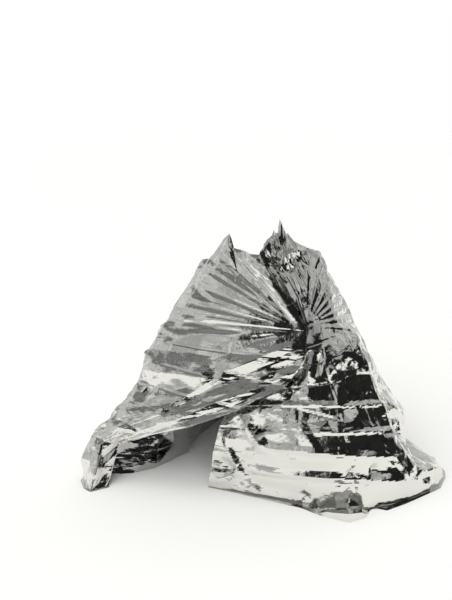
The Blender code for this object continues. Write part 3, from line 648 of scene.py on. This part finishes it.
def crumple_share(x, up, in_front):
    """How strong the crumple is at each place, by the areas of the front."""
    share = np.ones_like(x)
    for area in named(AREA_COLUMNS, AREAS):
        off = np.hypot((x - area["x"]) / area["half_across"], (up - area["up"]) / area["half_up"])
        share += area["gain"] * np.clip(AREA_TOP - AREA_FALL * off, 0, 1) * in_front
    return np.maximum(share, CALMEST)


def body_crumple(x, up, facing, across, down):
    """The crumple above the hem: stronger at the collar and round the back, calmer among the pleats."""
    across_grid, drop = np.meshgrid(across, down * DROP, indexing="ij")
    broad, *finer = named(CRUMPLE_COLUMNS, CRUMPLES)
    crumple = crumple_height(across_grid, drop, broad)
    patches = PATCH_MEAN + PATCH_SWING * smooth_noise(across_grid, drop, PATCH_PITCH, PATCH_SEED)
    fine = sum(crumple_height(across_grid, drop, layer) for layer in finer)
    crumple += np.clip(patches, PATCH_LEAST, 1) * fine
    crumple *= crumple_share(x, up, np.clip(facing / FACING_FADE, 0, 1))
    away, _ = round_gather("left", x, up)
    calm = CALM_SHARE * np.clip(CALM_TOP - away / CALM_REACH, 0, 1)
    calm *= up > GATHERS["left"][1] - CALM_BELOW
    at_collar = np.clip(1 - down / COLLAR_DEPTH, 0, 1)[None, :]
    round_back = np.clip((BACK_FROM - facing) / FACING_FADE, 0, 1)
    return crumple * (1 - calm * (1 - at_collar) + COLLAR_GAIN * at_collar + BACK_GAIN * round_back)


def fine_fan_height(fan, x, up):
    """Many fine uneven pleats round the gather."""
    rng = np.random.default_rng(fan["seed"])
    bearings = np.arange(fan["first"], fan["last"], fan["pitch"])
    stray = rng.uniform(-FINE_STRAY, FINE_STRAY, len(bearings)) * fan["pitch"]
    signs = np.where(np.arange(len(bearings)) % 2 == 0, 1.0, -1.0)
    heights = signs * rng.uniform(*FINE_HEIGHTS, len(bearings)) * fan["height"]
    heights[[0, -1]] = 0.0
    away, bearing = round_gather(fan["panel"], x, up)
    return np.interp(bearing, bearings + stray, heights) * fan_share(away, FINE_GROWS, FINE_FADES)


def crease_height(across, down):
    """Narrow grooves along the crease lines."""
    line, band = across / CREASE_SPACING, band_place(down)
    off_u = abs(line - np.round(line)) * CREASE_SPACING
    off_v = abs(band - np.round(band)) * BAND_SPACING
    groove_u = np.clip(1 - off_u / CREASE_HALF, 0, 1)
    groove_v = np.clip(1 - off_v / CREASE_HALF, 0, 1)
    return -CREASE_DEPTH * np.maximum(groove_u[:, None], groove_v[None, :])


def hem_ripple(hem, foot, across):
    """How far the hem's crumple lifts it off the floor, less where it is narrow."""
    steps = np.array(HEM_STEPS)
    hem_across, hem_drop = np.meshgrid(across, HEM_DROP + steps * HEM_REACH, indexing="ij")
    ripple = abs(crumple_height(hem_across, hem_drop, dict(zip(CRUMPLE_COLUMNS, HEM_CRUMPLE))))
    width = np.linalg.norm(hem[:, -1] - foot, axis=1)[:, None]
    return ripple * np.clip(width / HEM_FULL_WIDTH, 0, 1) * (steps < 1)[None, :]


def grid_lines():
    """Where the grid's lines lie across the sheet, closer together in front."""
    at = rib_places()
    ends = np.array([0.0, at["left_ridge"], at["right_side"], max(at.values())])
    lines = np.diff(ends) * (CLOSER_IN_FRONT, 1.0, CLOSER_IN_FRONT)
    return np.interp(np.linspace(0, lines.sum(), GRID_ACROSS), np.concatenate([[0], np.cumsum(lines)]), ends)


def among_pleats(x, up, across):
    """Which places lie among the pleats, by how far they are from the left panel's gather."""
    away, _ = round_gather("left", x, up)
    on_left = panel_share("left", across) > 0.5
    reach = np.where(on_left, SMOOTH_REACH["left"], SMOOTH_REACH["right"])
    return (up > GATHERS["left"][1] - SMOOTH_BELOW) & (away < reach[:, None])


def crumpled_sheet(across, down):
    """The finest sheet: points[across, down] with the hem last, and which of them lie among the pleats."""
    points = folded_sheet(across, down)
    body, hem = points[:, :len(down)], points[:, len(down):]
    x, up = seen_plane(body)
    normals = normals_of(smooth_sheet(across, down))
    height = crease_height(across, down) + body_crumple(x, up, -normals[:, :, 1], across, down)
    for fan in named(FINE_FAN_COLUMNS, FINE_FANS):
        height += panel_share(fan["panel"], across)[:, None] * fine_fan_height(fan, x, up)
    pleated = np.zeros(points.shape[:2], bool)
    pleated[:, :len(down) - 1] = among_pleats(x, up, across)[:, :-1]
    height *= np.clip(body[:, :, 2] / FLOOR_FADE, 0, 1)
    body += normals * height[:, :, None]
    hem[:, :, 2] += hem_ripple(hem, body[:, -1], across)
    points[:, :, 2] = np.maximum(points[:, :, 2], 0.0) + LIFT
    return points - (CENTRE_X, CENTRE_Y, 0.0), pleated


def fine_sheet():
    """The film as one fine mesh on the solid's folds, shaded flat except among the pleats."""
    across, down = grid_lines(), np.linspace(0, 1, GRID_DOWN)
    points, pleated = crumpled_sheet(across, down)
    mesh = bpy.data.meshes.new("foil_sheet")
    mesh.from_pydata(points.reshape(-1, 3).tolist(), [], grid_faces(*points.shape[:2]).tolist())
    mesh.polygons.foreach_set("use_smooth", pleated[:-1, :-1].ravel().tolist())
    hem_shares = BODY_SHARE + np.array(HEM_STEPS) * (1 - BODY_SHARE)
    shares = np.concatenate([down * BODY_SHARE, hem_shares])
    flat = np.stack(np.meshgrid(across, shares, indexing="ij"), axis=-1).reshape(-1, 2)
    corner = np.array([loop.vertex_index for loop in mesh.loops])
    mesh.uv_layers.new(name="flat").data.foreach_set("uv", flat[corner].ravel())
    piece = bpy.data.objects.new("foil_sheet", mesh)
    bpy.context.scene.collection.objects.link(piece)
    return piece


def calculated(tree, operation, *values):
    """The result of one calculation, from numbers and the results of other nodes."""
    node = tree.nodes.new("ShaderNodeMath")
    node.operation = operation
    for socket, value in zip(node.inputs, values):
        if isinstance(value, (int, float)):
            socket.default_value = value
        else:
            tree.links.new(value, socket)
    return node.outputs[0]


def soft_step(tree, value, low, high, at_low, at_high):
    """A result that goes softly from at_low to at_high while the value goes from low to high."""
    node = tree.nodes.new("ShaderNodeMapRange")
    node.interpolation_type = "SMOOTHSTEP"
    for name, number in (("From Min", low), ("From Max", high), ("To Min", at_low), ("To Max", at_high)):
        node.inputs[name].default_value = number
    tree.links.new(value, node.inputs["Value"])
    return node.outputs[0]


def foil():
    """Bright metallised film with fine crinkles, its back side drawn darker as painted shade."""
    material = bpy.data.materials.new("foil")
    material.use_nodes = True
    tree = material.node_tree
    surface = tree.nodes["Principled BSDF"]
    surface.inputs["Metallic"].default_value = 1.0
    surface.inputs["Roughness"].default_value = FILM_ROUGHNESS
    # The back side gets the darker colour: painted shade for the inside of the tent, which the film itself
    # shades.
    sides = tree.nodes.new("ShaderNodeMix")
    sides.data_type = "RGBA"
    for socket, colour in zip(COLOUR_INPUTS, (FILM_FRONT, FILM_BACK_PAINTED_SHADE)):
        sides.inputs[socket].default_value = colour
    tree.links.new(tree.nodes.new("ShaderNodeNewGeometry").outputs["Backfacing"], sides.inputs[0])
    tree.links.new(sides.outputs[COLOUR_OUTPUT], surface.inputs["Base Color"])
    place = tree.nodes.new("ShaderNodeTexCoord").outputs["Object"]
    heights = []
    for scale, strength in CRINKLES:
        cells = tree.nodes.new("ShaderNodeTexVoronoi")
        cells.inputs["Scale"].default_value = scale
        tree.links.new(place, cells.inputs["Vector"])
        heights.append(calculated(tree, "MULTIPLY", cells.outputs["Distance"], strength))
    bump = tree.nodes.new("ShaderNodeBump")
    bump.inputs["Strength"].default_value = CRINKLE_STRENGTH
    bump.inputs["Distance"].default_value = CRINKLE_DISTANCE
    tree.links.new(calculated(tree, "ADD", *heights), bump.inputs["Height"])
    tree.links.new(bump.outputs["Normal"], surface.inputs["Normal"])
    return material


def floor():
    """A plain pale floor."""
    bpy.ops.mesh.primitive_plane_add(size=1.0)
    ground = bpy.context.object
    ground.scale = FLOOR_SIZE
    ground.name = "floor"
    material = bpy.data.materials.new("pale_floor")
    material.use_nodes = True
    surface = material.node_tree.nodes["Principled BSDF"]
    surface.inputs["Base Color"].default_value = FLOOR_COLOUR
    surface.inputs["Roughness"].default_value = FLOOR_ROUGHNESS
    ground.data.materials.append(material)


def camera():
    """The photograph's viewpoint: a little above, looking down LOOK_DOWN degrees."""
    tilt = math.radians(LOOK_DOWN)
    back = Vector((0.0, -math.cos(tilt), math.sin(tilt)))
    aim = Vector(np.subtract(CAMERA_AIM, (CENTRE_X, CENTRE_Y, 0.0)))
    data = bpy.data.cameras.new("camera")
    eye = bpy.data.objects.new("camera", data)
    bpy.context.scene.collection.objects.link(eye)
    eye.location = aim + back * CAMERA_DISTANCE
    eye.rotation_euler = (math.radians(90 - LOOK_DOWN), 0.0, 0.0)
    data.sensor_width = SENSOR
    data.lens = SENSOR * CAMERA_DISTANCE / (PICTURE_HEIGHT * METRES_PER_PIXEL)
    _, seen_up = seen_plane(np.array(CAMERA_AIM))
    aim_row = FLOOR_ROW - seen_up / METRES_PER_PIXEL
    data.shift_x = (PICTURE_WIDTH / 2 - MIDDLE_COLUMN) / PICTURE_HEIGHT
    data.shift_y = (aim_row - PICTURE_HEIGHT / 2) / PICTURE_HEIGHT
    bpy.context.scene.camera = eye


def room_light(tree):
    """How bright the room is in each direction: dark in front low down, and lighter elsewhere."""
    plus = partial(calculated, tree, "ADD")
    times = partial(calculated, tree, "MULTIPLY")
    over = partial(calculated, tree, "DIVIDE")
    larger = partial(calculated, tree, "MAXIMUM")

    def step(name, value):
        """One of the room's soft steps."""
        return soft_step(tree, value, *ROOM[name])

    direction = tree.nodes.new("ShaderNodeTexCoord").outputs["Generated"]
    split = tree.nodes.new("ShaderNodeSeparateXYZ")
    tree.links.new(direction, split.inputs[0])
    x, y, z = split.outputs
    flat = larger(calculated(tree, "SQRT", plus(times(x, x), times(y, y))), LEAST_LENGTH)
    turn = math.radians(DARK_BEARING)
    ahead = over(plus(times(y, -math.cos(turn)), times(x, math.sin(turn))), flat)
    sideways, backwards = over(x, flat), over(y, flat)
    clutter = tree.nodes.new("ShaderNodeTexNoise")
    clutter.inputs["Scale"].default_value = CLUTTER_SCALE
    clutter.inputs["Detail"].default_value = CLUTTER_DETAIL
    tree.links.new(direction, clutter.inputs["Vector"])
    lit = times(step("overhead", z), step("clutter", clutter.outputs["Fac"]))
    lit = times(lit, step("behind", ahead))
    lit = times(lit, step("shade", times(step("leftwards", sideways), step("upwards", z))))
    lit = larger(lit, times(step("backwards", backwards), step("above floor", z)))
    lit = larger(lit, step("rightwards", sideways))
    dark = times(step("in front", ahead), step("low down", z))
    return times(lit, step("darkness", dark))


def room():
    """The room round the film, which the camera itself sees as plain white."""
    world = bpy.data.worlds.new("room")
    bpy.context.scene.world = world
    world.use_nodes = True
    tree = world.node_tree
    tree.nodes.clear()
    mirrored = tree.nodes.new("ShaderNodeBackground")
    tree.links.new(room_light(tree), mirrored.inputs["Strength"])
    seen = tree.nodes.new("ShaderNodeBackground")
    seen.inputs["Color"].default_value = WHITE
    mix = tree.nodes.new("ShaderNodeMixShader")
    rays = tree.nodes.new("ShaderNodeLightPath")
    tree.links.new(rays.outputs["Is Camera Ray"], mix.inputs[0])
    tree.links.new(mirrored.outputs[0], mix.inputs[1])
    tree.links.new(seen.outputs[0], mix.inputs[2])
    out = tree.nodes.new("ShaderNodeOutputWorld")
    tree.links.new(mix.outputs[0], out.inputs["Surface"])


def skylight(name, direction, softness, power):
    """An even soft light from one direction, which the film doesn't mirror."""
    data = bpy.data.lights.new(name, "SUN")
    data.angle = math.radians(softness)
    data.energy = power
    lamp = bpy.data.objects.new(name, data)
    bpy.context.scene.collection.objects.link(lamp)
    lamp.rotation_euler = Vector(direction).to_track_quat("-Z", "Y").to_euler()
    lamp.visible_glossy = False


def main():
    """Sets up view, room, floor and lights, and puts the film on the solid's node."""
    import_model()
    bpy.context.scene.view_settings.view_transform = "Standard"
    camera()
    room()
    floor()
    for light in LIGHTS:
        skylight(*light)
    piece = fine_sheet()
    piece.data.materials.append(foil())
    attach(piece, "root")
    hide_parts("blanket")


main()
